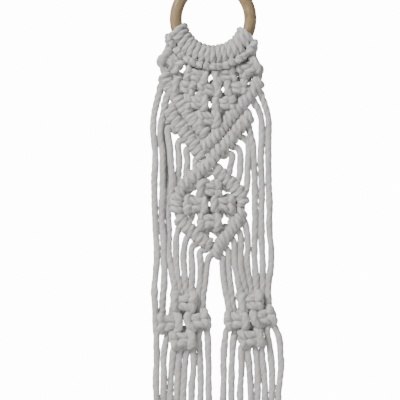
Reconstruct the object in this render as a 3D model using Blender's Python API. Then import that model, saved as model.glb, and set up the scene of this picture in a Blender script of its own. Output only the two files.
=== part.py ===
"""A knotted cotton wall hanging on a wooden ring, built as one solid per knot, hitched bar, run and tail.

Metres, +Z up, +X to the right as the hanging is looked at, +Y towards the wall. The origin is the hanging point:
the top of the ring's hole, where a nail or hook holds it.
Places in the lists below are millimetres right of and above the ring's centre.
"""

import math

import bmesh
import bpy
from mathutils import Vector

MM = 0.001
GAP = 0.35 * MM  # left between pieces that touch

# The ring
RING_OUTER_DIAMETER = 70 * MM
RING_WOOD = 10 * MM
RING_STEPS_ROUND = 60
RING_STEPS_SECTION = 16
RING_RADIUS = (RING_OUTER_DIAMETER - RING_WOOD) / 2
HOLE_RADIUS = RING_OUTER_DIAMETER / 2 - RING_WOOD

# The cord
CORD_RADIUS = 2.35 * MM
CORD_SIDES = 8
CORD_STEP = 16 * MM
ROUND_START_ANGLES = (35, 70)  # where the half ball at a cord's start has its rings, from its middle

# A lark's head: two turns of cord side by side round the wood, with the cord's fold in front
LARKS_HEAD_ANGLES = [208.6, 225.8, 241.2, 258.0, 273.6, 289.2, 305.7, 323.1]
LARKS_HEAD_HALF_ANGLE = 7.2
LARKS_HEAD_STEPS = 4
LARKS_HEAD_SECTION = 14
LARKS_HEAD_GAP = 1.3 * GAP  # between the cord and the wood
LARKS_HEAD_CLEARANCE = 3 * GAP  # between the lark's heads and the knots below them
FOLD_ANGLE = 222.0  # round the wood's section, from straight out: below and in front
FOLD_SPREAD = 32.0
FOLD_HEIGHT = 1.6 * MM

# A square knot is a soft lump, wider than it is high
KNOT_HALF_WIDTH = 8.4 * MM
KNOT_HALF_DEPTH = 4.6 * MM
KNOT_COLUMNS = 12
KNOT_ROWS = 6
NET_HALF_HEIGHT = 5.2 * MM
DIAMOND_HALF_HEIGHT = 5.6 * MM
BUNDLE_HALF_HEIGHT = 6.2 * MM

# name: (x, z, tilt in degrees)
NET_KNOTS = {
    "net_knot_1_1": (-33, -33.5, -40),
    "net_knot_1_2": (-13.2, -46, -14),
    "net_knot_1_3": (9, -46, 10),
    "net_knot_1_4": (28.5, -40, 32),
    "net_knot_2_1": (-23.5, -55, -12),
    "net_knot_2_2": (-2.8, -57.2, 0),
    "net_knot_2_3": (18.5, -56, 8),
    "net_knot_3_1": (-13.5, -67.8, -4),
    "net_knot_3_2": (8.5, -68.5, 4),
    "net_knot_4_1": (-3.5, -80.5, 0),
}
DIAMOND_KNOTS = {
    "diamond_knot_top": (-3, -137, 0),
    "diamond_knot_left": (-13.5, -149.5, 0),
    "diamond_knot_right": (8, -149, 0),
    "diamond_knot_bottom": (-2.5, -162.5, 0),
}

# Which knots are tied with cords from one another, upper knot first
NET_LINKS = [
    ("net_knot_1_1", "net_knot_2_1"), ("net_knot_1_2", "net_knot_2_1"), ("net_knot_1_2", "net_knot_2_2"),
    ("net_knot_1_3", "net_knot_2_2"), ("net_knot_1_3", "net_knot_2_3"), ("net_knot_1_4", "net_knot_2_3"),
    ("net_knot_2_1", "net_knot_3_1"), ("net_knot_2_2", "net_knot_3_1"), ("net_knot_2_2", "net_knot_3_2"),
    ("net_knot_2_3", "net_knot_3_2"), ("net_knot_3_1", "net_knot_4_1"), ("net_knot_3_2", "net_knot_4_1"),
]  # fmt: skip
# Where a knot's other cords go: the offset of a point inside the bar or the lark's head that they reach
NET_EDGE_LEGS = {
    "net_knot_1_1": [(-6, 9), (3, 10), (-2.5, -13)],
    "net_knot_1_2": [(-7, 8), (3, 9)],
    "net_knot_1_3": [(-3, 9), (7, 8)],
    "net_knot_1_4": [(-4, 9), (5, 9), (3, -13)],
    "net_knot_2_1": [(-7, -9)],
    "net_knot_2_3": [(8, -9)],
    "net_knot_3_1": [(-8, -9)],
    "net_knot_3_2": [(8, -9)],
    "net_knot_4_1": [(-8.5, -3.5), (7, -10)],
}
DIAMOND_LINKS = [
    ("diamond_knot_top", "diamond_knot_left"), ("diamond_knot_top", "diamond_knot_right"),
    ("diamond_knot_left", "diamond_knot_bottom"), ("diamond_knot_right", "diamond_knot_bottom"),
]  # fmt: skip
DIAMOND_EDGE_LEGS = {
    "diamond_knot_top": [(-9, 11), (8, 11)],
    "diamond_knot_left": [(-14, 4), (-8, -14)],
    "diamond_knot_right": [(14, 5), (9, -13)],
    "diamond_knot_bottom": [(-9, -11), (9, -11)],
}
LEG_RADIUS = 2.9 * MM  # two cords side by side, pressed together

# A hitched bar is a row of loops round one cord. Its line runs down the middle of the row.
BAR_RADIUS = 4.75 * MM
BAR_SIDES = 10
BAR_STEP = 12 * MM
BARS = {
    "left_v_bar": [(-39.4, -45.2), (-34.5, -55.5), (-25, -68.5), (-15.5, -82), (-8.5, -89.5)],
    "right_v_bar": [(37, -49.5), (27.5, -63), (17.5, -74), (7, -87), (-2.5, -98.5), (-6.5, -102)],
    "second_left_bar": [(-34.8, -73), (-30.8, -80.5), (-21.5, -92.5), (-13.5, -104), (-11.5, -107)],
    "long_bar": [
        (30, -77.5), (21.5, -87), (13, -97.5), (3, -108), (-7, -118.5),
        (-17.5, -128), (-25.5, -136), (-29, -145.5), (-29, -155.3),
    ],
    "diamond_top_right_bar": [(3, -122), (9.5, -128), (17, -135), (22.5, -142.5), (24, -149)],
    "diamond_bottom_left_bar": [(-28, -159.8), (-21, -167.5), (-12, -174.5), (-5.5, -179.5)],
    "diamond_bottom_right_bar": [(23.5, -154.5), (18.5, -163.5), (12, -172), (5.5, -182), (1, -189.5)],
}  # fmt: skip

NET_BARS = ["left_v_bar", "right_v_bar"]
DIAMOND_BARS = ["long_bar", "diamond_top_right_bar", "diamond_bottom_left_bar", "diamond_bottom_right_bar"]

# The two bundles of eight cords below the diamond hang from this height, and fold forward there
BUNDLE_HINGE = -198
HINGE_PLAY = CORD_RADIUS + 1.5 * GAP  # a cord ends this far above the middle of the round end below it
PANEL_END = BUNDLE_HINGE + HINGE_PLAY / MM
LEFT_BUNDLE_X = [-45.9, -39.9, -34.7, -29.4, -23.6, -16.6, -10.8, -4.8]
RIGHT_BUNDLE_X = [7.0, 12.4, 17.5, 22.6, 27.7, 34.2, 39.8, 46.4]

# Runs of cord that hang from a bar and are part of its solid: (x, z) or (x, z, y)
BAR_RUNS = {
    "second_left_bar": [
        [(-33.8, -78), (-36.2, -88, -2.6), (-34.4, -112, -2.4), (-32.9, -130, -2.2), (-32.2, -134.5, -2.2)],
        [(-27.5, -86), (-28.2, -100), (-27.2, -118), (-26.9, -127.6)],
        [(-21, -94), (-21.8, -104), (-20.8, -113), (-20, -121.6)],
    ],
    "long_bar": [
        [(26.5, -82), (27.8, -100), (27.8, -120), (27.6, -138.2)],
        [(19.5, -90), (21.5, -105), (21.9, -118), (21.6, -128.6)],
        [(11.5, -99), (14.8, -108), (15.4, -116), (15, -123.2)],
    ],
    "diamond_bottom_left_bar": [
        [(-25, -163), (-29, -173), (-29.6, -185), (LEFT_BUNDLE_X[3], PANEL_END)],
        [(-19, -169.5), (-23, -180), (LEFT_BUNDLE_X[4], PANEL_END)],
        [(-12.5, -174.5), (-16.4, -184), (LEFT_BUNDLE_X[5], PANEL_END)],
        [(-8, -178), (-10.8, -187), (LEFT_BUNDLE_X[6], PANEL_END)],
    ],
    "diamond_bottom_right_bar": [
        [(2, -187.5), (-3.4, -190.4), (LEFT_BUNDLE_X[7], PANEL_END)],
        [(5, -183), (6.8, -190), (RIGHT_BUNDLE_X[0], PANEL_END)],
        [(9, -177), (12.2, -186), (RIGHT_BUNDLE_X[1], PANEL_END)],
        [(14, -169.5), (17.2, -180), (RIGHT_BUNDLE_X[2], PANEL_END)],
        [(18, -164), (22.4, -175), (RIGHT_BUNDLE_X[3], PANEL_END)],
        [(21.5, -158.5), (26.6, -168), (28.4, -182), (RIGHT_BUNDLE_X[4], PANEL_END)],
    ],
}

# Cords that leave a bar at the panel's sides and hang straight to the bundles
FREE_RUNS = {
    "free_run_left_1": [(-46.6, -50.5), (-47.3, -80), (-47, -120), (-46.2, -160), (LEFT_BUNDLE_X[0], PANEL_END)],
    "free_run_left_2": [(-41.9, -65), (-42, -90), (-41, -120), (-40.4, -160), (LEFT_BUNDLE_X[1], PANEL_END)],
    "free_run_left_3": [(-38, -83.5, 3.6), (-36.8, -100, 3), (-36.4, -130, 2.9), (-35.8, -165, 2.4),
                        (LEFT_BUNDLE_X[2], PANEL_END)],
    "free_run_right_1": [(32.6, -87), (33, -110), (33.4, -150), (33.6, -175), (RIGHT_BUNDLE_X[5], PANEL_END)],
    "free_run_right_2": [(37.6, -63.5), (38.6, -80), (38.8, -120), (39, -160), (RIGHT_BUNDLE_X[6], PANEL_END)],
    "free_run_right_3": [(43, -57.5), (44.2, -80), (44.6, -120), (45.4, -160), (RIGHT_BUNDLE_X[7], PANEL_END)],
}  # fmt: skip

# Each bundle's four knots, and the runs that come down into the top three: (x, z) from the hinge down
LEFT_BUNDLE_KNOTS = {
    "left_bundle_knot_top": (-24, -228, 0),
    "left_bundle_knot_left": (-34.5, -244, 0),
    "left_bundle_knot_right": (-13, -242.5, 0),
    "left_bundle_knot_bottom": (-24, -257, 0),
}
RIGHT_BUNDLE_KNOTS = {
    "right_bundle_knot_top": (30, -228, 0),
    "right_bundle_knot_left": (19.5, -242.5, 0),
    "right_bundle_knot_right": (40, -241.5, 0),
    "right_bundle_knot_bottom": (31, -256, 0),
}
BUNDLE_RUNS = {
    "left_bundle_knot_top": [
        [(LEFT_BUNDLE_X[2], BUNDLE_HINGE), (-34, -210), (-29, -226)],
        [(LEFT_BUNDLE_X[3], BUNDLE_HINGE), (-28.6, -210), (-26, -226)],
        [(LEFT_BUNDLE_X[4], BUNDLE_HINGE), (-23.2, -210), (-22.5, -226)],
        [(LEFT_BUNDLE_X[5], BUNDLE_HINGE), (-17.4, -210), (-19, -226)],
    ],
    "left_bundle_knot_left": [
        [(LEFT_BUNDLE_X[0], BUNDLE_HINGE), (-45.2, -215), (-42.6, -230), (-38.5, -242)],
        [(LEFT_BUNDLE_X[1], BUNDLE_HINGE), (-39.6, -215), (-37.6, -230), (-35, -242)],
    ],
    "left_bundle_knot_right": [
        [(LEFT_BUNDLE_X[6], BUNDLE_HINGE), (-10.8, -215), (-11.2, -228), (-12, -240)],
        [(LEFT_BUNDLE_X[7], BUNDLE_HINGE), (-5.2, -215), (-6, -228), (-8.5, -240)],
    ],
    "right_bundle_knot_top": [
        [(RIGHT_BUNDLE_X[2], BUNDLE_HINGE), (19.6, -212), (25.5, -226)],
        [(RIGHT_BUNDLE_X[3], BUNDLE_HINGE), (24.6, -212), (28.5, -226)],
        [(RIGHT_BUNDLE_X[4], BUNDLE_HINGE), (29.6, -212), (31.5, -226)],
        [(RIGHT_BUNDLE_X[5], BUNDLE_HINGE), (35.2, -212), (35, -226)],
    ],
    "right_bundle_knot_left": [
        [(RIGHT_BUNDLE_X[0], BUNDLE_HINGE), (8, -215), (10.5, -229), (15, -240)],
        [(RIGHT_BUNDLE_X[1], BUNDLE_HINGE), (13.4, -215), (15.8, -229), (19, -240)],
    ],
    "right_bundle_knot_right": [
        [(RIGHT_BUNDLE_X[6], BUNDLE_HINGE), (41.2, -215), (42, -228), (41, -239)],
        [(RIGHT_BUNDLE_X[7], BUNDLE_HINGE), (47.2, -215), (47.6, -228), (44.5, -239)],
    ],
}

# The sixteen tails, from left to right. Each starts at the middle of its round upper end.
TAILS = [
    [(-42.2, -251), (-44.2, -262), (-45, -285), (-45, -310), (-44.2, -340), (-44.6, -366)],
    [(-36.8, -253.2), (-38.6, -264), (-39.6, -285), (-39.8, -312), (-39.2, -342), (-39.4, -369)],
    [(-31.4, -264.6), (-33, -276), (-34.4, -292), (-34.6, -315), (-33.8, -345), (-34.2, -364)],
    [(-26.4, -266), (-27.8, -278), (-29.2, -292), (-29.4, -315), (-28.6, -345), (-29, -370)],
    [(-21.4, -266), (-22.2, -278), (-23.6, -292), (-24, -315), (-23.2, -345), (-23.4, -367)],
    [(-16.4, -264.4), (-16.2, -278), (-16.8, -292), (-17, -315), (-17.4, -345), (-17.2, -371)],
    [(-11, -251.8), (-10.2, -264), (-10.6, -285), (-11, -312), (-11.6, -342), (-11.4, -365)],
    [(-5.4, -249.6), (-3.8, -262), (-3.6, -285), (-3.6, -310), (-4.6, -340), (-4.4, -368)],
    [(11.9, -248.8), (9.4, -262), (8.4, -285), (8, -310), (8.8, -340), (8.4, -367)],
    [(17.3, -251.8), (15.6, -264), (14.8, -285), (15, -312), (15.6, -342), (15.2, -370)],
    [(23.4, -263.4), (22.4, -276), (22, -292), (22.2, -315), (22.8, -345), (22.4, -365)],
    [(28.5, -265.2), (29.2, -278), (30, -292), (29.8, -315), (29, -345), (29.4, -369)],
    [(33.6, -265.2), (34.8, -278), (35.8, -292), (36, -315), (35.2, -345), (35.6, -366)],
    [(38.7, -263.2), (40.4, -276), (41.6, -292), (41.8, -315), (41, -345), (41.4, -371)],
    [(43, -250.6), (45.8, -262), (47.2, -285), (47.2, -312), (47, -342), (47.2, -368)],
    [(48.6, -247), (53.4, -257), (54.2, -275), (53, -310), (53.2, -342), (52.8, -364)],
]  # fmt: skip

COTTON = (0.80, 0.77, 0.71)
BEECH = (0.72, 0.53, 0.34)


def clear_scene():
    for old in list(bpy.data.objects):
        bpy.data.objects.remove(old, do_unlink=True)


def place(x, z, y=0.0):
    """A point given in millimetres from the ring's centre, in metres from the hanging point."""
    return Vector((x * MM, y * MM, z * MM - HOLE_RADIUS))


def places(route):
    return [place(*point) for point in route]


def material(name, colour, roughness):
    made = bpy.data.materials.new(name)
    made.use_nodes = True
    shader = made.node_tree.nodes["Principled BSDF"]
    shader.inputs["Base Color"].default_value = (*colour, 1)
    shader.inputs["Roughness"].default_value = roughness
    shader.inputs["Metallic"].default_value = 0.0
    return made


def add_object(name, shape, colour=COTTON, roughness=0.9):
    """A named object made of a bmesh, shaded smooth, with a material of its own."""
    bmesh.ops.recalc_face_normals(shape, faces=shape.faces)
    mesh = bpy.data.meshes.new(name)
    shape.to_mesh(mesh)
    shape.free()
    mesh.shade_smooth()
    mesh.materials.append(material(name + "_surface", colour, roughness))
    made = bpy.data.objects.new(name, mesh)
    bpy.context.scene.collection.objects.link(made)
    return made


def skin(shape, rings, closed=False):
    """Quads between neighbouring rings of vertices, and round each ring."""
    last = len(rings) if closed else len(rings) - 1
    for i in range(last):
        near, far = rings[i], rings[(i + 1) % len(rings)]
        for k in range(len(near)):
            after = (k + 1) % len(near)
            shape.faces.new((near[k], near[after], far[after], far[k]))


def smooth_line(points, step):
    """Points about one step apart on a Catmull-Rom curve through the given ones."""
    ends = [2 * points[0] - points[1], *points, 2 * points[-1] - points[-2]]
    line = []
    for a, b, c, d in zip(ends, ends[1:], ends[2:], ends[3:]):
        pieces = max(1, round((c - b).length / step))
        for i in range(pieces):
            t = i / pieces
            line.append(
                0.5 * ((2 * b) + (c - a) * t + (2 * a - 5 * b + 4 * c - d) * t**2
                       + (3 * b - a - 3 * c + d) * t**3)
            )  # fmt: skip
    return [*line, points[-1].copy()]


def directions(line):
    found = []
    for i in range(len(line)):
        found.append((line[min(i + 1, len(line) - 1)] - line[max(i - 1, 0)]).normalized())
    return found


def tube_shape(points, radius, sides, step, round_start=False):
    """A capped tube along a smooth line. A round start is half a ball whose middle is the first point."""
    line = smooth_line(points, step)
    along = directions(line)
    radii = [radius] * len(line)
    if round_start:
        for angle in ROUND_START_ANGLES:
            line.insert(0, points[0] - along[0] * radius * math.sin(math.radians(angle)))
            radii.insert(0, radius * math.cos(math.radians(angle)))
            along.insert(0, along[0])
    shape = bmesh.new()
    rings = []
    for point, way, size in zip(line, along, radii):
        back = (Vector((0, 1, 0)) - way * way.y).normalized()
        across = way.cross(back)
        ring = []
        for k in range(sides):
            angle = math.tau * (k + 0.5) / sides
            ring.append(shape.verts.new(point + (back * math.cos(angle) + across * math.sin(angle)) * size))
        rings.append(ring)
    skin(shape, rings)
    shape.faces.new(rings[0])
    shape.faces.new(rings[-1])
    return shape


def cord(name, route, round_start=False):
    return add_object(name, tube_shape(places(route), CORD_RADIUS, CORD_SIDES, CORD_STEP, round_start))


def combine(base, others, operation):
    """Booleans that add the other objects to the base or cut it with them. The others are left out of the model."""
    for other in others:
        other.hide_render = True
        other.display_type = "WIRE"
        step = base.modifiers.new(operation.title(), "BOOLEAN")
        step.operation = operation
        step.solver = "EXACT"
        step.object = other


def on_section(round_angle, section_angle, radius):
    """A point round the wood's section, at an angle round the ring. Both angles in degrees."""
    reach = RING_RADIUS + radius * math.cos(math.radians(section_angle))
    return (
        reach * math.cos(math.radians(round_angle)),
        radius * math.sin(math.radians(section_angle)),
        reach * math.sin(math.radians(round_angle)) - HOLE_RADIUS,
    )


def torus_shape(section_radius):
    shape = bmesh.new()
    rings = []
    for i in range(RING_STEPS_ROUND):
        ring = []
        for k in range(RING_STEPS_SECTION):
            point = on_section(360 * i / RING_STEPS_ROUND, 360 * k / RING_STEPS_SECTION, section_radius)
            ring.append(shape.verts.new(point))
        rings.append(ring)
    skin(shape, rings, closed=True)
    return shape


def add_ring():
    add_object("wooden_ring", torus_shape(RING_WOOD / 2), BEECH, 0.45)


def larks_head_thickness(section_angle):
    """Cord outside the wood at an angle round its section: one cord, and more at the fold in front."""
    away = (section_angle - FOLD_ANGLE + 180) % 360 - 180
    return 2 * CORD_RADIUS + FOLD_HEIGHT * math.exp(-((away / FOLD_SPREAD) ** 2))


def add_larks_head(name, middle_angle):
    """A sleeve round a short stretch of the wood."""
    shape = bmesh.new()
    inner_radius = RING_WOOD / 2 + LARKS_HEAD_GAP
    sections = []
    for i in range(LARKS_HEAD_STEPS + 1):
        share = 2 * i / LARKS_HEAD_STEPS - 1
        round_angle = middle_angle + LARKS_HEAD_HALF_ANGLE * share
        loops = []
        for outside in (False, True):
            loop = []
            for k in range(LARKS_HEAD_SECTION):
                section_angle = 360 * k / LARKS_HEAD_SECTION
                radius = inner_radius
                if outside:
                    radius += larks_head_thickness(section_angle)
                loop.append(shape.verts.new(on_section(round_angle, section_angle, radius)))
            loops.append(loop)
        sections.append(loops)
    skin(shape, [loops[0] for loops in sections])
    skin(shape, [loops[1] for loops in sections])
    skin(shape, sections[0])
    skin(shape, sections[-1])
    return add_object(name, shape)


def add_knot(name, x, z, tilt, half_height):
    """A lump like a flattened egg, turned in the plane of the hanging."""
    shape = bmesh.new()
    bmesh.ops.create_uvsphere(shape, u_segments=KNOT_COLUMNS, v_segments=KNOT_ROWS, radius=1.0)
    bmesh.ops.scale(shape, vec=(KNOT_HALF_WIDTH, KNOT_HALF_DEPTH, half_height), verts=shape.verts)
    made = add_object(name, shape)
    made.location = place(x, z)
    made.rotation_euler = (0, -math.radians(tilt), 0)
    return made


def add_leg(name, start, end):
    """A straight stub of cord inside a knot's solid, from the knot's middle."""
    return add_object(name, tube_shape([start, end], LEG_RADIUS, CORD_SIDES, CORD_STEP))


def add_knot_with_legs(name, knots, links, edge_legs, half_height):
    """A knot with a stub towards each knot, bar or lark's head that its cords go to. Linked stubs meet half way."""
    x, z, tilt = knots[name]
    knot = add_knot(name, x, z, tilt, half_height)
    middle = place(x, z)
    ends = [place(x + across, z + up) for across, up in edge_legs.get(name, [])]
    for pair in links:
        if name in pair:
            other = pair[0] if name == pair[1] else pair[1]
            way = place(*knots[other][:2]) - middle
            ends.append(middle + way / 2 - way.normalized() * GAP / 2)
    legs = [add_leg(f"{name}_leg_{number}", middle, end) for number, end in enumerate(ends, 1)]
    combine(knot, legs, "UNION")
    return knot


def add_bar(name):
    return add_object(name, tube_shape(places(BARS[name]), BAR_RADIUS, BAR_SIDES, BAR_STEP))


def add_bar_clearance(name):
    """A slightly fatter and longer bar, to cut back the knots beside it."""
    line = places(BARS[name])
    line[0] += (line[0] - line[1]).normalized() * GAP
    line[-1] += (line[-1] - line[-2]).normalized() * GAP
    return add_object(name + "_clearance", tube_shape(line, BAR_RADIUS + GAP, BAR_SIDES, BAR_STEP))


def add_larks_head_clearance():
    """A fat ring that takes in all the lark's heads, to cut the stubs below them back."""
    return add_object("larks_head_clearance", torus_shape(RING_WOOD / 2 + 2 * CORD_RADIUS + LARKS_HEAD_CLEARANCE))


def add_bars():
    for name in BARS:
        bar = add_bar(name)
        runs = []
        for number, route in enumerate(BAR_RUNS.get(name, []), 1):
            runs.append(cord(f"{name}_run_{number}", route))
        combine(bar, runs, "UNION")


def add_panel_knots():
    """The net and the diamond, each knot cut back from the bars and the lark's heads beside it."""
    larks_heads = add_larks_head_clearance()
    edges = {name: add_bar_clearance(name) for name in NET_BARS + DIAMOND_BARS}
    for name in NET_KNOTS:
        knot = add_knot_with_legs(name, NET_KNOTS, NET_LINKS, NET_EDGE_LEGS, NET_HALF_HEIGHT)
        combine(knot, [larks_heads, *(edges[bar] for bar in NET_BARS)], "DIFFERENCE")
    for name in DIAMOND_KNOTS:
        knot = add_knot_with_legs(name, DIAMOND_KNOTS, DIAMOND_LINKS, DIAMOND_EDGE_LEGS, DIAMOND_HALF_HEIGHT)
        combine(knot, [edges[bar] for bar in DIAMOND_BARS], "DIFFERENCE")


def add_bundle(side, knots):
    """A bundle's four knots, with the cords that come down into them from the bundle's hinge."""
    for name in knots:
        knot = add_knot_with_legs(name, knots, bundle_links(side), {}, BUNDLE_HALF_HEIGHT)
        runs = []
        for number, route in enumerate(BUNDLE_RUNS.get(name, []), 1):
            runs.append(cord(f"{name}_run_{number}", route, round_start=True))
        combine(knot, runs, "UNION")


def bundle_links(side):
    top, left, right, bottom = (f"{side}_bundle_knot_{part}" for part in ("top", "left", "right", "bottom"))
    return [(top, left), (top, right), (left, bottom), (right, bottom)]


def add_tails():
    for number, route in enumerate(TAILS, 1):
        cord(f"tail_{number}", route, round_start=True)


def main():
    clear_scene()
    add_ring()
    for number, angle in enumerate(LARKS_HEAD_ANGLES, 1):
        add_larks_head(f"larks_head_{number}", angle)
    add_bars()
    add_panel_knots()
    for name, route in FREE_RUNS.items():
        cord(name, route)
    add_bundle("left", LEFT_BUNDLE_KNOTS)
    add_bundle("right", RIGHT_BUNDLE_KNOTS)
    add_tails()


main()
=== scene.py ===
"""Tapestry wall hanging: eight cotton cords, each folded in half over a wooden ring, knotted with
square knots and rows of half hitches, and hanging in two bundles of eight strands."""

import math
import random

import bpy
import numpy as np
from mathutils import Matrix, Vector, kdtree


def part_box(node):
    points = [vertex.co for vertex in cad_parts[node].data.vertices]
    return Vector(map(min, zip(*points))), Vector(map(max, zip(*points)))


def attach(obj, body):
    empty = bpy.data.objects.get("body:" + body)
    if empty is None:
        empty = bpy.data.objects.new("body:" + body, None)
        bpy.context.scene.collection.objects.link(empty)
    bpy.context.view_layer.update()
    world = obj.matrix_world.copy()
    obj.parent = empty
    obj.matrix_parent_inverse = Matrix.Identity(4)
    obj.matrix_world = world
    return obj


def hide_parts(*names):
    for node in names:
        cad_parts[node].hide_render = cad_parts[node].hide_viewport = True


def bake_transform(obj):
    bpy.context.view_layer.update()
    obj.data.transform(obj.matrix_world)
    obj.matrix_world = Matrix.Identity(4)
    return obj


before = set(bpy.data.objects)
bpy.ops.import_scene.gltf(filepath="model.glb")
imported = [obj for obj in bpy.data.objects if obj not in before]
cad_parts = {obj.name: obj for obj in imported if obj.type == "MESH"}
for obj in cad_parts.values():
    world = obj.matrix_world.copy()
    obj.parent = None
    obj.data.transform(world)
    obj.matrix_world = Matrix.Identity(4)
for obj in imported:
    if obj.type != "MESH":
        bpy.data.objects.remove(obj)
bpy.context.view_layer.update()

# Lengths below are in millimetres from the middle of the ring: x to the right, z up, y away from the viewer.
MM = 0.001
RING_LOW, RING_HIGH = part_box("wooden_ring")
RING_MIDDLE = (np.array(RING_LOW) + np.array(RING_HIGH)) / 2
RING_OUTER_RADIUS = (RING_HIGH[0] - RING_LOW[0]) / 2 / MM
RING_WOOD_RADIUS = (RING_HIGH[1] - RING_LOW[1]) / 2 / MM
RING_RADIUS = RING_OUTER_RADIUS - RING_WOOD_RADIUS

CORD_RADIUS = 2.35
CORD_SIDES = 18
CORD_STEP = 1.1
PLIES = 3
PLY_LAY = 19.0  # length of cord in which the plies turn once
# parts of the radius: how deep the grooves between plies are, the same in tight cord, and soft lumps
PLY_DEPTH = 0.03
PLY_DEPTH_TIGHT = 0.1
LUMPS = 0.05
HAIRS_PER_MM = 0.9
HAIR_WIDTH = 0.11
# corners of a loose fibre: 0 to 2 at its root, 3 to 5 in its middle and 6 its tip
HAIR_FACES = [(0, 1, 4, 3), (1, 2, 5, 4), (2, 0, 3, 5), (3, 4, 6), (4, 5, 6), (5, 3, 6), (2, 1, 0)]

# how thick a strand is drawn and how much room it takes, as parts of the cord's own thickness
HANGING = (1.15, 0.99)
IN_KNOT = (1.2, 0.84)
IN_LOOSE_KNOT = (1.32, 0.9)
IN_BAR = (1.19, 0.55)
INSIDE_BAR = (0.8, 0.5)
INSIDE_KNOT = (1.05, 0.84)

# how the strands are moved apart, in each round: the part of an overlap that goes, and the longest move
GIVE = 0.22
LONGEST_MOVE = 0.7
SMOOTHING = 0.3
# strands with less room than this are wound tight where they belong, and hardly move
FIRM_ROOM = 0.78
ROUNDS = 16

WANDER = (0.5, 0.5, 0.1)  # how far a loose strand strays in x, y and z
SWELL = 0.028  # uneven thickness, as a part of the radius

LARKS_HEAD_ANGLES = [208.6, 225.8, 241.2, 258.0, 273.6, 289.2, 305.7, 323.1]
# the heads fan out: they span more degrees on the inner side of the ring than at their folds
HEADS_MIDDLE = math.radians(265.6)
HEADS_FAN = 0.175
HEAD_HALF_WIDTH = math.radians(4.15)
# how far the fold lies outside the middle of the wood, and from there to the ring's inner side
FOLD_OUT = 8.9
HEAD_DEPTH = 16

# square knots: x, z and tilt in degrees of the middle, and the strands from left to right
# (None: the knot has one inner strand, not two, because the outermost strand of its bundle hangs past it)
KNOTS_IN_NET = [
    ("net_knot_1_1", -33, -33.5, -40, (1, 2, 3, 4)),
    ("net_knot_1_2", -13.2, -46, -14, (5, 6, 7, 8)),
    ("net_knot_1_3", 9, -46, 10, (9, 10, 11, 12)),
    ("net_knot_1_4", 28.5, -40, 32, (13, 14, 15, 16)),
    ("net_knot_2_1", -23.5, -55, -12, (3, 4, 5, 6)),
    ("net_knot_2_2", -2.8, -57.2, 0, (7, 8, 9, 10)),
    ("net_knot_2_3", 18.5, -56, 8, (11, 12, 13, 14)),
    ("net_knot_3_1", -13.5, -67.8, -4, (5, 6, 7, 8)),
    ("net_knot_3_2", 8.5, -68.5, 4, (9, 10, 11, 12)),
    ("net_knot_4_1", -3.5, -80.5, 0, (7, 8, 9, 10)),
]
KNOTS_IN_DIAMOND = [
    ("diamond_knot_top", -3, -137, 0, (8, 16, 1, 9)),
    ("diamond_knot_left", -13.5, -149.5, 0, (6, 7, 8, 16)),
    ("diamond_knot_right", 8, -149, 0, (1, 9, 10, 11)),
    ("diamond_knot_bottom", -2.5, -162.5, 0, (8, 16, 1, 9)),
]
LEFT_BUNDLE = (2, 3, 5, 6, 7, 8, 16, 4)
RIGHT_BUNDLE = (13, 1, 9, 10, 11, 12, 14, 15)
KNOTS_IN_BUNDLES = [
    ("left_bundle_knot_top", -24, -228, -4, LEFT_BUNDLE[2:6]),
    ("left_bundle_knot_left", -34.5, -244, 2, (3, None, 5, 6)),
    ("left_bundle_knot_right", -13, -242.5, 14, LEFT_BUNDLE[4:8]),
    ("left_bundle_knot_bottom", -24, -257, 5, LEFT_BUNDLE[2:6]),
    ("right_bundle_knot_top", 30, -228, 9, RIGHT_BUNDLE[2:6]),
    ("right_bundle_knot_left", 19.5, -242.5, 2, RIGHT_BUNDLE[0:4]),
    ("right_bundle_knot_right", 40, -239.5, 19, RIGHT_BUNDLE[4:8]),
    ("right_bundle_knot_bottom", 31, -256, 8, RIGHT_BUNDLE[2:6]),
]
KNOT_WIDTH = 1.07
NET_HALF_HEIGHT = 5.2
DIAMOND_HALF_HEIGHT = 5.6
BUNDLE_HALF_HEIGHT = 6.2

# the line of each row of hitches
BARS = {
    "left_v_bar": [(-39.4, -45.2), (-34.5, -55.5), (-25, -68.5), (-15.5, -82), (-8.5, -89.5)],
    "right_v_bar": [(37, -49.5), (27.5, -63), (17.5, -74), (7, -87), (-2.5, -98.5), (-6.5, -102)],
    "second_left_bar": [(-34.8, -73), (-30.8, -80.5), (-21.5, -92.5), (-13.5, -104), (-11.5, -107)],
    "long_bar": [
        (30, -77.5), (21.5, -87), (13, -97.5), (3, -108), (-7, -118.5),
        (-17.5, -128), (-25.5, -136), (-29, -145.5), (-29, -155.3),
    ],
    "diamond_top_right_bar": [(3, -122), (9.5, -128), (17, -135), (22.5, -142.5), (24, -149)],
    "diamond_bottom_left_bar": [(-28, -159.8), (-21, -167.5), (-12, -174.5), (-5.5, -179.5)],
    "diamond_bottom_right_bar": [(23.5, -154.5), (18.5, -163.5), (12, -172), (5.5, -182), (1, -189.5)],
}  # fmt: skip
DOWN_LEFT = 1
DOWN_RIGHT = -1

BUNDLE_HINGE = -198
LEFT_BUNDLE_X = [-45.9, -39.9, -34.7, -29.4, -23.6, -16.6, -10.8, -4.8]
RIGHT_BUNDLE_X = [7.0, 12.4, 17.5, 22.6, 27.7, 34.2, 39.8, 46.4]

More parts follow.
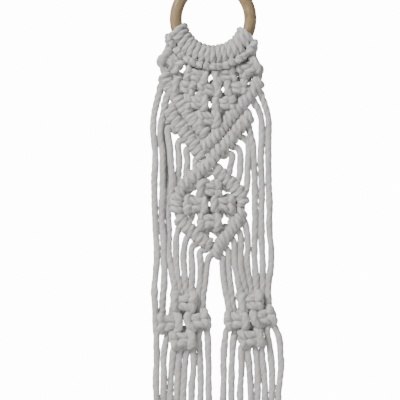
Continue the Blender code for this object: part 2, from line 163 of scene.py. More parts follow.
# the free stretches: strand and the points it hangs through
RUNS_BELOW_SECOND_LEFT = {
    6: [(-36.2, -88, -2.6), (-34.4, -112, -2.4), (-32.9, -130, -2.2)],
    7: [(-28.2, -100), (-27.2, -118)],
    8: [(-21.8, -104), (-20.8, -113)],
}
RUNS_BELOW_LONG = {
    11: [(27.8, -100), (27.8, -120), (27.6, -134)],
    10: [(21.5, -105), (21.9, -118), (21.6, -125)],
    9: [(14.8, -108), (15.4, -114)],
}
RUNS_TO_BUNDLES = {
    2: [(-47.3, -80), (-47, -120), (-46.2, -160)],
    3: [(-42, -90), (-41, -120), (-40.4, -160)],
    5: [(-38, -86, 3.4), (-36.8, -100, 3), (-36.4, -130, 2.9), (-35.8, -165, 2.4)],
    12: [(33, -110), (33.4, -150), (33.6, -175)],
    14: [(38.6, -80), (38.8, -120), (39, -160)],
    15: [(44.2, -80), (44.6, -120), (45.4, -160)],
    6: [(-29, -173), (-29.6, -185)],
    7: [(-23, -180)],
    8: [(-16.4, -184)],
    16: [(-10.8, -187)],
    4: [(-3.4, -190.4)],
    13: [(6.8, -190)],
    1: [(12.2, -186)],
    9: [(17.2, -180)],
    10: [(22.4, -175)],
    11: [(26.6, -168), (28.4, -182)],
}
TAILS = [
    [(-45.6, -251), (-45.9, -262), (-45.6, -285), (-45, -310), (-44.2, -340), (-44.6, -366)],
    [(-36.8, -253.2), (-38.6, -264), (-39.6, -285), (-39.8, -312), (-39.2, -342), (-39.4, -369)],
    [(-31.4, -264.6), (-33, -276), (-34.4, -292), (-34.6, -315), (-33.8, -345), (-34.2, -364)],
    [(-26.4, -266), (-27.8, -278), (-29.2, -292), (-29.4, -315), (-28.6, -345), (-29, -370)],
    [(-21.4, -266), (-22.2, -278), (-23.6, -292), (-24, -315), (-23.2, -345), (-23.4, -367)],
    [(-16.4, -264.4), (-16.2, -278), (-16.8, -292), (-17, -315), (-17.4, -345), (-17.2, -371)],
    [(-11, -251.8), (-10.2, -264), (-10.6, -285), (-11, -312), (-11.6, -342), (-11.4, -365)],
    [(-5.4, -249.6), (-3.8, -262), (-3.6, -285), (-3.6, -310), (-4.6, -340), (-4.4, -368)],
    [(11.9, -248.8), (9.4, -262), (8.4, -285), (8, -310), (8.8, -340), (8.4, -367)],
    [(17.3, -251.8), (15.6, -264), (14.8, -285), (15, -312), (15.6, -342), (15.2, -370)],
    [(23.4, -263.4), (22.4, -276), (22, -292), (22.2, -315), (22.8, -345), (22.4, -365)],
    [(28.5, -265.2), (29.2, -278), (30, -292), (29.8, -315), (29, -345), (29.4, -369)],
    [(33.6, -265.2), (34.8, -278), (35.8, -292), (36, -315), (35.2, -345), (35.6, -366)],
    [(38.7, -263.2), (40.4, -276), (41.6, -292), (41.8, -315), (41, -345), (41.4, -371)],
    [(43, -250.6), (45.8, -262), (47.2, -285), (47.2, -312), (47, -342), (47.2, -368)],
    [(48.6, -247), (53.4, -257), (54.2, -275), (53, -310), (53.2, -342), (52.8, -364)],
]  # fmt: skip

# the studio, in metres
CAMERA_PLACE = (-0.0105, -1.207, -0.1707)
CAMERA_LENS = 135
LIGHTS_AIM = (0, 0, -0.2)
FLOOR_HEIGHT = -0.62
FLOOR_RADIUS = 2.0
FLOOR_CORNERS = 96
SURROUND_LIGHT = 0.48
BACKDROP_LIGHT = 14.0
# where the bright backdrop begins and is full, as the cosine of the angle from straight behind
BACKDROP_EDGE = 0.966
BACKDROP_FULL = 0.98


def place(x, y, z):
    """Millimetres from the middle of the ring, as a point of the model in metres."""
    return Vector((RING_MIDDLE[0] + x * MM, RING_MIDDLE[1] + y * MM, RING_MIDDLE[2] + z * MM))


def make_camera():
    """The view of the photograph: square on, from the front."""
    data = bpy.data.cameras.new("camera")
    data.lens = CAMERA_LENS
    data.sensor_width = 36
    data.clip_start = 0.05
    data.clip_end = 50
    camera = bpy.data.objects.new("camera", data)
    camera.location = CAMERA_PLACE
    camera.rotation_euler = (math.radians(90), 0, 0)
    bpy.context.scene.collection.objects.link(camera)
    bpy.context.scene.camera = camera


# ---------------------------------------------------------------- the strands' lines


def curve_through(points, step):
    """An even row of points on a smooth curve through the points. Every column is carried along."""
    p = np.array(points, dtype=float)
    p = np.vstack([2 * p[0] - p[1], p, 2 * p[-1] - p[-2]])
    out = []
    for i in range(1, len(p) - 2):
        a, b, c, d = p[i - 1 : i + 3]
        span = np.linalg.norm((c - b)[:3])
        count = max(2, int(span / 0.4))
        for t in np.arange(count) / count:
            out.append(b + 0.5 * t * (c - a + t * (2 * a - 5 * b + 4 * c - d + t * (3 * (b - c) + d - a))))
    out.append(p[-2])
    return even_steps(np.array(out), step)


def even_steps(line, step):
    """The same line with points at even distances."""
    gaps = np.linalg.norm(np.diff(line[:, :3], axis=0), axis=1)
    along = np.concatenate([[0], np.cumsum(gaps)])
    count = max(2, int(round(along[-1] / step)) + 1)
    wanted = np.linspace(0, along[-1], count)
    return np.column_stack([np.interp(wanted, along, line[:, k]) for k in range(line.shape[1])])


def add_points(strands, number, points, size=HANGING):
    """Adds points (x, y, z) to a strand's line, with how thick the strand is there and its room."""
    for x, y, z in points:
        strands[number].append((x, y, z, *size))


def larks_head(strands, angle, left, right):
    """One cord folded over the ring. The fold lies in front, below the wood. Both halves go back past its
    ends, up behind the wood, over it and down the front, and then through, behind the fold."""
    fold_radius = RING_RADIUS + FOLD_OUT
    reach = RING_WOOD_RADIUS + CORD_RADIUS * 0.85
    for number, side in ((left, -1), (right, 1)):
        # each point is how far out from the middle of the wood, how far forward, and how far to the side
        turns = [(9.0, 7.7, 0.0), (9.0, 7.5, 0.8), (9.0, 5.0, 1.45), (8.6, 0.4, 1.5), (7.2, -4.0, 1.25)]
        for degrees in (-125, -90, -60, -30, 0, 30, 60, 90, 120):
            # round the wood's section: 180 is outermost, 90 in front and 0 nearest the ring's middle
            a = math.radians(degrees)
            turns.append((-math.cos(a) * reach, math.sin(a) * reach, 1.0))
        turns += [(5.6, 4.4, 0.95), (8.4, 1.0, 0.85), (10.6, 0.4, 0.85)]
        for out, forward, spread in turns:
            inward = (fold_radius - RING_RADIUS - out) / HEAD_DEPTH
            here = HEADS_MIDDLE + (angle - HEADS_MIDDLE) * (1 + HEADS_FAN * inward)
            here += side * HEAD_HALF_WIDTH * spread * (1 + HEADS_FAN * inward)
            r = RING_RADIUS + out
            thick = 1.18 - 0.2 * inward
            point = (r * math.cos(here), -forward, r * math.sin(here))
            add_points(strands, number, [point], (thick, 0.62))


def square_knot(strands, x, z, tilt, names, half_height, flip, size=IN_KNOT):
    """Two outer strands tied round two straight inner ones. flip ties it from the other side."""
    across = np.array((math.cos(tilt), 0, math.sin(tilt)))
    up = np.array((-math.sin(tilt), 0, math.cos(tilt)))
    front = np.array((0, -1, 0))
    middle = np.array((x, 0, z))
    h = half_height / NET_HALF_HEIGHT
    # points of each strand's path: across, up and towards the front
    over = [
        (-5.4, 5.9, -0.6), (-5.9, 4.0, 0.3), (-3.9, 2.35, 3.1), (0, 2.15, 4.3), (3.7, 2.1, 3.6),
        (6.2, 1.4, 1.0), (6.9, 0, 0.2),
    ]  # fmt: skip
    over += [(u, -v, w) for u, v, w in reversed(over[:-1])]
    under = [
        (5.4, 5.9, -0.6), (6.3, 4.3, 1.8), (6.3, 2.6, 4.2), (4.6, 1.1, 2.0), (3.2, 1.1, -2.2),
        (0, 2.2, -4.3), (-3.2, 3.6, -3.0), (-4.4, 4.8, 0.2), (-5.3, 4.3, 3.2), (-6.1, 2.4, 4.9),
        (-6.5, 0, 5.1),
    ]  # fmt: skip
    under += [(u, -v, w) for u, v, w in reversed(under[:-1])]
    straight = [(2.0, 5.9, -0.6), (2.0, 2.5, 0), (2.0, 0, 0), (2.0, -2.5, 0), (2.0, -5.9, -0.6)]
    left, inner_left, inner_right, right = names
    side = -1 if flip else 1
    paths = (
        (right if flip else left, [(side * u, v, w) for u, v, w in over], size),
        (left if flip else right, [(side * u, v, w) for u, v, w in under], size),
        (inner_left, [(-u, v, w) for u, v, w in straight], INSIDE_KNOT),
        (inner_right, straight, INSIDE_KNOT),
    )
    for number, path, thickness in paths:
        if number is None:
            continue
        points = [middle + across * u * KNOT_WIDTH + up * v * h + front * w for u, v, w in path]
        add_points(strands, number, points, thickness)


def point_at(line, distance):
    """Middle and direction of a line at a distance along it."""
    gaps = np.linalg.norm(np.diff(line, axis=0), axis=1)
    along = np.concatenate([[0], np.cumsum(gaps)])
    distance = min(max(distance, 0), along[-1])
    here = np.array([np.interp(distance, along, line[:, k]) for k in range(3)])
    i = min(np.searchsorted(along, distance, side="right") - 1, len(line) - 2)
    direction = line[i + 1] - line[i]
    return here, direction / np.linalg.norm(direction)


def hitched_bar(strands, route, slope, filler, hitchers, end_reach=1.0, turn=3.35):
    """A row of double half hitches: each hitcher is wound round the filler, twice in front. end_reach is
    how far the row goes past its route's end, and turn how far the windings are from the filler's middle."""
    line = curve_through([(x, 0, z) for x, z in route], 1.0)
    line[0] += (line[0] - line[2]) * 0.5
    line[-1] += (line[-1] - line[-3]) * end_reach / 2
    length = np.linalg.norm(np.diff(line, axis=0), axis=1).sum()
    pitch = length / (2 * len(hitchers))
    front = np.array((0, -1, 0))
    for k, number in enumerate(hitchers):
        start = (2 * k + 0.25) * pitch
        points = []
        for degrees in range(-90, 451, 45):
            here, direction = point_at(line, start + pitch * (degrees + 90) / 360)
            leave = slope * np.array((-direction[2], 0, direction[0]))
            a = math.radians(degrees)
            points.append(here + leave * turn * math.sin(a) + front * turn * math.cos(a))
        here, direction = point_at(line, start + 1.5 * pitch)
        leave = slope * np.array((-direction[2], 0, direction[0]))
        points.append(here + leave * (turn + 2.0) - front * 0.8)
        add_points(strands, number, points, IN_BAR)
    add_points(strands, filler, curve_through([(x, 0, z) for x, z in route], 5.0), INSIDE_BAR)


def hang(strands, runs):
    """Free stretches: points (x, z) or (x, z, y) for each strand."""
    for number, route in runs.items():
        for point in route:
            y = point[2] if len(point) > 2 else 0.0
            add_points(strands, number, [(point[0], y, point[1])])


def knots(strands, which, half_height, size=IN_KNOT):
    """A group of square knots, of which every second one is tied from the other side."""
    for count, (_, x, z, tilt, names) in enumerate(which):
        square_knot(strands, x, z, math.radians(tilt), names, half_height, count % 2 == 1, size)


def strand_routes():
    """The points each of the sixteen strands goes through, from its fold on the ring down to its tip."""
    strands = {n: [] for n in range(1, 17)}
    for head, degrees in enumerate(LARKS_HEAD_ANGLES, 1):
        larks_head(strands, math.radians(degrees), 2 * head - 1, 2 * head)
    knots(strands, KNOTS_IN_NET, NET_HALF_HEIGHT)
    hitched_bar(strands, BARS["left_v_bar"], DOWN_RIGHT, 1, (2, 3, 4, 5, 6, 7, 8), end_reach=4.5)
    hitched_bar(
        strands, BARS["right_v_bar"], DOWN_LEFT, 16, (15, 14, 13, 12, 11, 10, 9, 1), end_reach=2.5
    )
    hitched_bar(strands, BARS["second_left_bar"], DOWN_RIGHT, 4, (5, 6, 7, 8, 16), end_reach=5.0)
    hang(strands, RUNS_BELOW_SECOND_LEFT)
    hitched_bar(strands, BARS["long_bar"], DOWN_LEFT, 13, (12, 11, 10, 9, 1, 4, 16, 8, 7, 6))
    hang(strands, RUNS_BELOW_LONG)
    hitched_bar(strands, BARS["diamond_top_right_bar"], DOWN_RIGHT, 4, (1, 9, 10, 11))
    knots(strands, KNOTS_IN_DIAMOND, DIAMOND_HALF_HEIGHT)
    hitched_bar(strands, BARS["diamond_bottom_left_bar"], DOWN_RIGHT, 13, (6, 7, 8, 16), end_reach=5.0)
    hitched_bar(strands, BARS["diamond_bottom_right_bar"], DOWN_LEFT, 4, (11, 10, 9, 1, 13))
    hang(strands, RUNS_TO_BUNDLES)
    for names, columns in ((LEFT_BUNDLE, LEFT_BUNDLE_X), (RIGHT_BUNDLE, RIGHT_BUNDLE_X)):
        for number, x in zip(names, columns):
            add_points(strands, number, [(x, 0, BUNDLE_HINGE)])
    knots(strands, KNOTS_IN_BUNDLES, BUNDLE_HALF_HEIGHT, IN_LOOSE_KNOT)
    # the outermost strand hangs past the left knot
    add_points(strands, LEFT_BUNDLE[0], [(-46.6, 0, -222), (-46.3, 0.4, -238)])
    for number, route in zip(LEFT_BUNDLE + RIGHT_BUNDLE, TAILS):
        add_points(strands, number, [(x, 0, z) for x, z in route])
    return strands


def settle(lines, rounds):
    """Moves strands that run into each other apart, as far as soft cords give."""
    sizes = [len(line) for line in lines]
    points = np.vstack([line[:, :3] for line in lines])
    room = np.concatenate([line[:, 4] for line in lines])
    owner = np.concatenate([np.full(size, i) for i, size in enumerate(sizes)])
    order = np.concatenate([np.arange(size) for size in sizes])
    home = points.copy()
    firm = np.clip((FIRM_ROOM - room) / 0.1, 0, 1)[:, None]
    ends = np.zeros(len(points), bool)
    start = 0
    for size in sizes:
        ends[start] = True
        ends[start + size - 1] = True
        start += size
    near_self = int(3.2 * CORD_RADIUS / CORD_STEP)
    for _ in range(rounds):
        tree = kdtree.KDTree(len(points))
        for i, p in enumerate(points):
            tree.insert(p, i)
        tree.balance()
        push = np.zeros_like(points)
        for i, p in enumerate(points):
            for q, j, distance in tree.find_range(p, 2 * CORD_RADIUS):
                if j <= i or (owner[i] == owner[j] and abs(order[i] - order[j]) < near_self):
                    continue
                wanted = CORD_RADIUS * (room[i] + room[j])
                if distance >= wanted:
                    continue
                away = points[i] - points[j]
                if distance < 0.05:
                    away = np.array((0.0, 1.0 if owner[i] > owner[j] else -1.0, 0.0))
                    distance = 1.0
                move = away / distance * (wanted - distance) * GIVE
                push[i] += move
                push[j] -= move
        size = np.linalg.norm(push, axis=1)
        push *= np.minimum(1, LONGEST_MOVE / np.maximum(size, 1e-9))[:, None]
        points = points + push * (1 - 0.8 * firm) + (home - points) * (0.05 + 0.6 * firm)
        points = keep_off_ring(points, room)
        middle = points.copy()
        middle[1:-1] = (points[:-2] + points[2:]) / 2
        blend = np.where(ends, 0.0, SMOOTHING)[:, None] * (1 - firm)
        points = points * (1 - blend) + middle * blend
    out = []
    start = 0
    for size, line in zip(sizes, lines):
        out.append(np.column_stack([points[start : start + size], line[:, 3:]]))
        start += size
    return out


def keep_off_ring(points, room):
    """Points pushed out of the wood of the ring."""
    flat = np.hypot(points[:, 0], points[:, 2])
    off = flat - RING_RADIUS
    distance = np.hypot(off, points[:, 1])
    wanted = RING_WOOD_RADIUS + CORD_RADIUS * np.maximum(room, 0.75)
    near = distance < wanted
    if not near.any():
        return points
    out = points.copy()
    scale = wanted[near] / np.maximum(distance[near], 1e-6)
    new_flat = RING_RADIUS + off[near] * scale
    out[near, 0] = points[near, 0] / flat[near] * new_flat
    out[near, 2] = points[near, 2] / flat[near] * new_flat
    out[near, 1] = points[near, 1] * scale
    return out


def soften(line, seed):
    """Slow, small wandering, and cord that is never quite even in thickness."""
    rng = random.Random(seed)
    along = np.arange(len(line)) * CORD_STEP
    out = line.copy()
    loose = np.clip((line[:, 4] - 0.84) / 0.1, 0.25, 1)
    for k, size in enumerate(WANDER):
        wave = np.zeros(len(line))
        for _ in range(4):
            wave += 0.5 * np.sin(along / rng.uniform(5, 16) + rng.uniform(0, 6.28))
        out[:, k] += wave * size * loose
    swell = np.zeros(len(line))
    for _ in range(3):
        swell += SWELL * np.sin(along / rng.uniform(2.5, 9) + rng.uniform(0, 6.28))
    out[:, 3] *= 1 + swell
    return out


# ---------------------------------------------------------------- the strands' surfaces


def frames_along(line):
    """Two directions across the line at each of its points, that turn as little as possible."""
    tangents = np.gradient(line[:, :3], axis=0)
    tangents /= np.linalg.norm(tangents, axis=1)[:, None]
    first = np.cross(tangents[0], (0, 1, 0))
    if np.linalg.norm(first) < 0.1:
        first = np.cross(tangents[0], (1, 0, 0))
    first /= np.linalg.norm(first)
    ones, twos = [], []
    for tangent in tangents:
        first = first - tangent * np.dot(first, tangent)
        first /= np.linalg.norm(first)
        ones.append(first)
        twos.append(np.cross(tangent, first))
    return np.array(ones), np.array(twos)


def cord_rings(line, seed):
    """Rings of points round a strand, and for each point how deep it lies in the grooves between plies,
    which also sets the painted shade there (stronger in tight cord): soft plies, laid with a twist.
    """
    rng = np.random.default_rng(seed)
    ones, twos = frames_along(line)
    around = np.arange(CORD_SIDES) / CORD_SIDES * 2 * math.pi
    along = np.arange(len(line)) * CORD_STEP
    lobes = PLIES * (around[None, :] - 2 * math.pi * along[:, None] / PLY_LAY) + rng.uniform(0, 6.28)
    groove_and_shade = (0.5 - 0.5 * np.cos(lobes)) ** 2
    tight = np.clip((0.97 - line[:, 4]) / 0.13, 0, 1)[:, None]
    lumps = rng.standard_normal((len(line), CORD_SIDES))
    for _ in range(2):
        lumps = (np.roll(lumps, 1, 0) + lumps + np.roll(lumps, -1, 0)) / 3
        lumps = (np.roll(lumps, 1, 1) + lumps + np.roll(lumps, -1, 1)) / 3
    lumps /= lumps.std()
    depth = PLY_DEPTH + (PLY_DEPTH_TIGHT - PLY_DEPTH) * tight
    radius = CORD_RADIUS * line[:, 3][:, None] * (1 + depth * (1 - 2 * groove_and_shade) + LUMPS * lumps)
    spots = (
        line[:, None, :3]
        + ones[:, None, :] * (radius * np.cos(around)[None, :])[:, :, None]
        + twos[:, None, :] * (radius * np.sin(around)[None, :])[:, :, None]
    )
    # the weight returned with the rings is painted shade: it darkens the cord's colour in the grooves
    # between plies, more in tight cord
    return spots, groove_and_shade * (0.35 + 0.65 * tight)


def add_hairs(verts, faces, rings, seed):
    """Loose cotton fibres: thin bent closed spikes that stand off the cord's surface."""
    rng = random.Random(seed)
    count, sides = rings.shape[:2]
    for _ in range(int(count * CORD_STEP * HAIRS_PER_MM)):
        i = rng.randrange(2, count - 3)
        j = rng.randrange(sides)
        root = rings[i, j]
        out = root - rings[i].mean(axis=0)
        out /= np.linalg.norm(out)
        along = rings[i + 1, j] - rings[i, j]
        along /= np.linalg.norm(along)
        across = np.cross(out, along)
        lean = along * rng.uniform(-1, 1) + across * rng.uniform(-0.8, 0.8)
        length = rng.uniform(0.9, 2.6)
        middle = root + out * length * 0.22 + lean * length * 0.45
        tip = middle + out * length * rng.uniform(0.02, 0.3) + lean * length * 0.45
        wide = np.cross(lean, out)
        wide *= HAIR_WIDTH / 2 / max(np.linalg.norm(wide), 1e-6)
        deep = np.cross(lean, wide) / max(np.linalg.norm(lean), 1e-6)
        corners = (wide, deep * 0.87 - wide * 0.5, -deep * 0.87 - wide * 0.5)
        first = len(verts)
        for spot in (root - out * 0.1, middle):
            for corner in corners:
                verts.append((spot + corner) * MM + RING_MIDDLE)
        verts.append(tip * MM + RING_MIDDLE)
        for face in HAIR_FACES:
            faces.append(tuple(first + corner for corner in face))


def tube(name, spots, groove_and_shade, first, last):
    """A mesh of the rings from first to last, with the way round and the way along as its UV map."""
    rings = spots[first : last + 1]
    count, sides = rings.shape[:2]
    verts = list(rings.reshape(-1, 3) * MM + RING_MIDDLE)
    faces = []
    for i in range(count - 1):
        for j in range(sides):
            a = i * sides + j
            b = i * sides + (j + 1) % sides
            faces.append((a, b, b + sides, a + sides))
    faces.append(tuple(reversed(range(sides))))
    faces.append(tuple(range((count - 1) * sides, count * sides)))
    add_hairs(verts, faces, rings, name)
    mesh = bpy.data.meshes.new(name)
    mesh.from_pydata([tuple(v) for v in verts], [], faces)
    layer = mesh.uv_layers.new(name="cord")
    uv = np.zeros((len(mesh.loops), 2))
    corner = 0
    for i in range(count - 1):
        v0 = (first + i) * CORD_STEP
        v1 = v0 + CORD_STEP
        for j in range(sides):
            u0 = j / sides
            u1 = (j + 1) / sides
            uv[corner : corner + 4] = ((u0, v0), (u1, v0), (u1, v1), (u0, v1))
            corner += 4
    layer.data.foreach_set("uv", uv.ravel())
    # painted shade: each point's weight for how much darker the cord's colour is drawn in the grooves
    # between plies
    depth = mesh.attributes.new("groove_and_shade", "FLOAT", "POINT")
    values = np.zeros(len(mesh.vertices), np.float32)
    values[: count * sides] = groove_and_shade[first : last + 1].ravel()
    depth.data.foreach_set("value", values)
    mesh.polygons.foreach_set("use_smooth", [True] * len(mesh.polygons))
    obj = bpy.data.objects.new(name, mesh)
    bpy.context.scene.collection.objects.link(obj)
    return obj


# ---------------------------------------------------------------- materials


def new_material(name):
    material = bpy.data.materials.new(name)
    material.use_nodes = True
    nodes = material.node_tree.nodes
    return material, nodes, material.node_tree.links, nodes["Principled BSDF"]


def colour_ramp(nodes, stops):
    ramp = nodes.new("ShaderNodeValToRGB")
    elements = ramp.color_ramp.elements
    while len(elements) < len(stops):
        elements.new(0.5)
    for element, (position, colour) in zip(elements, stops):
        element.position = position
        element.color = (*colour, 1)
    return ramp


def math_node(nodes, links, operation, a, b):
    node = nodes.new("ShaderNodeMath")
    node.operation = operation
    for socket, value in zip(node.inputs, (a, b)):
        if isinstance(value, (int, float)):
            socket.default_value = value
        else:
            links.new(value, socket)
    return node.outputs[0]


def noise(nodes, links, vector, scale, detail, stretch=(1, 1, 1), turn=0.0):
    mapping = nodes.new("ShaderNodeMapping")
    mapping.inputs["Scale"].default_value = stretch
    mapping.inputs["Rotation"].default_value = (0, 0, turn)
    links.new(vector, mapping.inputs["Vector"])
    texture = nodes.new("ShaderNodeTexNoise")
    texture.inputs["Scale"].default_value = scale
    texture.inputs["Detail"].default_value = detail
    links.new(mapping.outputs["Vector"], texture.inputs["Vector"])
    return texture.outputs["Fac"]


def cotton_material():
    """Natural cotton cord: three soft plies of fine fibres, laid with a twist."""
    material, nodes, links, shader = new_material("natural_cotton_cord")
    coordinates = nodes.new("ShaderNodeTexCoord")
    uv = nodes.new("ShaderNodeUVMap")
    uv.uv_map = "cord"
    groove_and_shade = nodes.new("ShaderNodeAttribute")
    groove_and_shade.attribute_name = "groove_and_shade"
    # the UV is turns round and millimetres along, sheared by the twist so that the fibres follow the plies
    parts = nodes.new("ShaderNodeSeparateXYZ")
    links.new(uv.outputs["UV"], parts.inputs[0])
    along = math_node(nodes, links, "DIVIDE", parts.outputs["Y"], PLY_LAY)
    lean = math_node(nodes, links, "SUBTRACT", parts.outputs["X"], along)
    angle = math_node(nodes, links, "MULTIPLY", lean, 2 * math.pi)
    fibre = nodes.new("ShaderNodeCombineXYZ")
    links.new(math_node(nodes, links, "SINE", angle, 0.0), fibre.inputs["X"])
    links.new(math_node(nodes, links, "COSINE", angle, 0.0), fibre.inputs["Y"])
    links.new(math_node(nodes, links, "MULTIPLY", parts.outputs["Y"], 0.045), fibre.inputs["Z"])
    fine = noise(nodes, links, fibre.outputs[0], 9.0, 4.0)
    coarse = noise(nodes, links, fibre.outputs[0], 2.6, 4.0)
    patches = noise(nodes, links, coordinates.outputs["Object"], 60.0, 4.0)
    tufts = noise(nodes, links, coordinates.outputs["Object"], 430.0, 3.0)
    tone = math_node(nodes, links, "MULTIPLY", fine, 0.45)
    tone = math_node(nodes, links, "ADD", tone, math_node(nodes, links, "MULTIPLY", coarse, 0.35))
    tone = math_node(nodes, links, "ADD", tone, math_node(nodes, links, "MULTIPLY", patches, 0.3))
    # painted shade: the colour is made darker in the grooves between plies
    tone = math_node(
        nodes, links, "SUBTRACT", tone, math_node(nodes, links, "MULTIPLY", groove_and_shade.outputs["Fac"], 0.2)
    )
    ramp = colour_ramp(
        nodes,
        [(0.2, (0.30, 0.285, 0.262)), (0.48, (0.515, 0.507, 0.495)), (0.72, (0.70, 0.697, 0.692))],
    )
    links.new(tone, ramp.inputs["Fac"])
    links.new(ramp.outputs["Color"], shader.inputs["Base Color"])
    shader.inputs["Roughness"].default_value = 0.94
    shader.inputs["Specular IOR Level"].default_value = 0.06
    shader.inputs["Sheen Weight"].default_value = 0.08
    shader.inputs["Sheen Roughness"].default_value = 0.6
    height = math_node(nodes, links, "MULTIPLY", fine, 0.6)
    height = math_node(nodes, links, "ADD", height, coarse)
    height = math_node(nodes, links, "ADD", height, math_node(nodes, links, "MULTIPLY", tufts, 0.8))
    bump = nodes.new("ShaderNodeBump")
    bump.inputs["Strength"].default_value = 0.85
    bump.inputs["Distance"].default_value = 0.0014
    links.new(height, bump.inputs["Height"])
    links.new(bump.outputs["Normal"], shader.inputs["Normal"])
    return material


def beech_material():
    """Sanded light beech: long pale grain round the ring, with short brown flecks."""
    material, nodes, links, shader = new_material("light_beech")
    uv = nodes.new("ShaderNodeUVMap")
    uv.uv_map = "grain"
    grain = noise(nodes, links, uv.outputs["UV"], 9.0, 5.0, (0.35, 5.0, 1))
    bands = noise(nodes, links, uv.outputs["UV"], 3.0, 3.0, (0.5, 2.2, 1), 0.06)
    flecks = noise(nodes, links, uv.outputs["UV"], 46.0, 2.0, (0.5, 4.5, 1))
    tone = math_node(nodes, links, "MULTIPLY", grain, 0.5)
    tone = math_node(nodes, links, "ADD", tone, math_node(nodes, links, "MULTIPLY", bands, 0.5))
    ramp = colour_ramp(
        nodes,
        [(0.32, (0.15, 0.1, 0.048)), (0.5, (0.25, 0.18, 0.09)), (0.68, (0.36, 0.27, 0.145))],
    )
    links.new(tone, ramp.inputs["Fac"])
    dark = colour_ramp(nodes, [(0.36, (0.62, 0.50, 0.40)), (0.46, (1, 1, 1))])
    links.new(flecks, dark.inputs["Fac"])
    mix = nodes.new("ShaderNodeMix")
    mix.data_type = "RGBA"
    mix.blend_type = "MULTIPLY"
    mix.inputs["Factor"].default_value = 0.6
    links.new(ramp.outputs["Color"], mix.inputs["A"])
    links.new(dark.outputs["Color"], mix.inputs["B"])
    links.new(mix.outputs["Result"], shader.inputs["Base Color"])
    shader.inputs["Roughness"].default_value = 0.5
    shader.inputs["Specular IOR Level"].default_value = 0.35
    bump = nodes.new("ShaderNodeBump")
    bump.inputs["Strength"].default_value = 0.15
    bump.inputs["Distance"].default_value = 0.0004
    links.new(flecks, bump.inputs["Height"])
    links.new(bump.outputs["Normal"], shader.inputs["Normal"])
    return material


def plain_material(name, colour):
    material, _, _, shader = new_material(name)
    shader.inputs["Base Color"].default_value = (*colour, 1)
    shader.inputs["Roughness"].default_value = 0.9
    return material


# ---------------------------------------------------------------- the pieces


def make_ring(material):
    """The turned ring, a little uneven, as hand-sanded wood is."""
    steps_round = 160
    steps_section = 28
    verts = []
    faces = []
    for i in range(steps_round):
        a = 2 * math.pi * i / steps_round
        wood = RING_WOOD_RADIUS * (1 + 0.008 * math.sin(3 * a + 0.6))
        for j in range(steps_section):
            b = 2 * math.pi * j / steps_section
            r = RING_RADIUS + wood * math.cos(b)
            verts.append(place(r * math.cos(a), wood * math.sin(b), r * math.sin(a)))
    for i in range(steps_round):
        here = i * steps_section
        beyond = (i + 1) % steps_round * steps_section
        for j in range(steps_section):
            m = (j + 1) % steps_section
            faces.append((here + j, here + m, beyond + m, beyond + j))
    mesh = bpy.data.meshes.new("beech_ring")
    mesh.from_pydata(verts, [], faces)
    layer = mesh.uv_layers.new(name="grain")
    grain_round = 12
    grain_section = 2
    corner = 0
    for i in range(steps_round):
        u0 = grain_round * i / steps_round
        u1 = grain_round * (i + 1) / steps_round
        for j in range(steps_section):
            v0 = grain_section * j / steps_section
            v1 = grain_section * (j + 1) / steps_section
            for spot in ((u0, v0), (u0, v1), (u1, v1), (u1, v0)):
                layer.data[corner].uv = spot
                corner += 1
    mesh.polygons.foreach_set("use_smooth", [True] * len(mesh.polygons))
    ring = bpy.data.objects.new("beech_ring", mesh)
    bpy.context.scene.collection.objects.link(ring)
    ring.data.materials.append(material)
    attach(ring, "ring")
    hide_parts("wooden_ring")


def nodes_of_strands():
    """The CAD nodes that each strand takes part in."""
    nodes = {n: [] for n in range(1, 17)}
    for head in range(1, 9):
        nodes[2 * head - 1].append(f"larks_head_{head}")
        nodes[2 * head].append(f"larks_head_{head}")
    for name, _, _, _, names in KNOTS_IN_NET + KNOTS_IN_DIAMOND:
        for number in names:
            nodes[number].append(name)
    for number, names in (
        (1, ["left_v_bar"]),
        (16, ["right_v_bar"]),
        (4, ["second_left_bar", "diamond_top_right_bar", "diamond_bottom_right_bar"]),
        (13, ["long_bar", "diamond_bottom_left_bar"]),
        (2, ["free_run_left_1"]),
        (3, ["free_run_left_2"]),
        (5, ["free_run_left_3"]),
        (12, ["free_run_right_1"]),
        (14, ["free_run_right_2"]),
        (15, ["free_run_right_3"]),
    ):
        nodes[number] += names
    for name, _, _, _, names in KNOTS_IN_BUNDLES:
        for number in names:
            if number is not None:
                nodes[number].append(name)
    return nodes


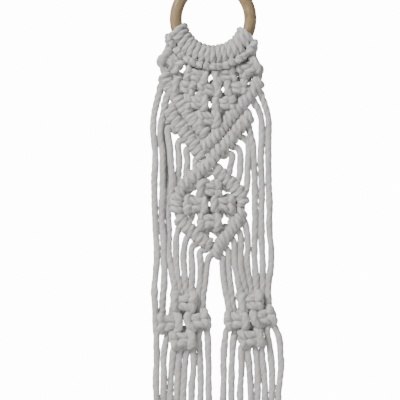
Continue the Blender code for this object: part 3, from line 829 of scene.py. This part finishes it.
def make_strands(material):
    """Each strand as two pieces: what is knotted, and its free tail."""
    routes = strand_routes()
    lines = [curve_through(routes[n], CORD_STEP) for n in range(1, 17)]
    lines = settle(lines, ROUNDS)
    lines = [even_steps(soften(line, seed), CORD_STEP) for seed, line in enumerate(lines)]
    nodes = nodes_of_strands()
    for place_in_row, number in enumerate(LEFT_BUNDLE + RIGHT_BUNDLE):
        line = lines[number - 1]
        spots, groove_and_shade = cord_rings(line, number)
        top = TAILS[place_in_row][0][1]
        below = np.nonzero(line[:, 2] > top)[0][-1] + 1

        upper = tube(f"strand_{number:02d}_knotted", spots, groove_and_shade, 0, below)
        upper.data.materials.append(material)
        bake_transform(upper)
        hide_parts(*nodes[number])

        tail_name = f"tail_{place_in_row + 1}"
        tail = tube(f"strand_{number:02d}_tail", spots, groove_and_shade, below, len(line) - 1)
        tail.data.materials.append(material)
        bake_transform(tail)
        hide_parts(tail_name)


def make_light(name, location, size, power, colour=(1, 1, 1)):
    data = bpy.data.lights.new(name, "AREA")
    data.size = size
    data.energy = power
    data.color = colour
    light = bpy.data.objects.new(name, data)
    light.location = location
    light.rotation_euler = (Vector(LIGHTS_AIM) - light.location).to_track_quat("-Z", "Y").to_euler()
    bpy.context.scene.collection.objects.link(light)


def make_studio():
    """Pale floor well below the hanging, a pale surround that is bright behind it, and two soft lights."""
    mesh = bpy.data.meshes.new("floor")
    angles = [2 * math.pi * i / FLOOR_CORNERS for i in range(FLOOR_CORNERS)]
    edge = [(FLOOR_RADIUS * math.cos(a), FLOOR_RADIUS * math.sin(a), FLOOR_HEIGHT) for a in angles]
    mesh.from_pydata(edge, [], [tuple(range(FLOOR_CORNERS))])
    floor = bpy.data.objects.new("floor", mesh)
    bpy.context.scene.collection.objects.link(floor)
    floor.data.materials.append(plain_material("pale_floor", (0.8, 0.8, 0.8)))
    world = bpy.data.worlds.new("studio")
    world.use_nodes = True
    nodes = world.node_tree.nodes
    links = world.node_tree.links
    background = nodes["Background"]
    background.inputs["Color"].default_value = (1, 1, 1, 1)
    direction = nodes.new("ShaderNodeTexCoord")
    toward = nodes.new("ShaderNodeVectorMath")
    toward.operation = "DOT_PRODUCT"
    toward.inputs[1].default_value = (0, 1, 0)
    links.new(direction.outputs["Generated"], toward.inputs[0])
    glow = nodes.new("ShaderNodeMapRange")
    glow.interpolation_type = "SMOOTHSTEP"
    glow.inputs["From Min"].default_value = BACKDROP_EDGE
    glow.inputs["From Max"].default_value = BACKDROP_FULL
    glow.inputs["To Min"].default_value = SURROUND_LIGHT
    glow.inputs["To Max"].default_value = BACKDROP_LIGHT
    links.new(toward.outputs["Value"], glow.inputs["Value"])
    links.new(glow.outputs["Result"], background.inputs["Strength"])
    bpy.context.scene.world = world
    make_light("key", location=(-0.95, -0.8, 0.75), size=0.4, power=35, colour=(1, 0.99, 0.98))
    make_light("fill", location=(0.9, -0.8, 0.1), size=0.8, power=2)


make_camera()
make_strands(cotton_material())
make_ring(beech_material())
make_studio()
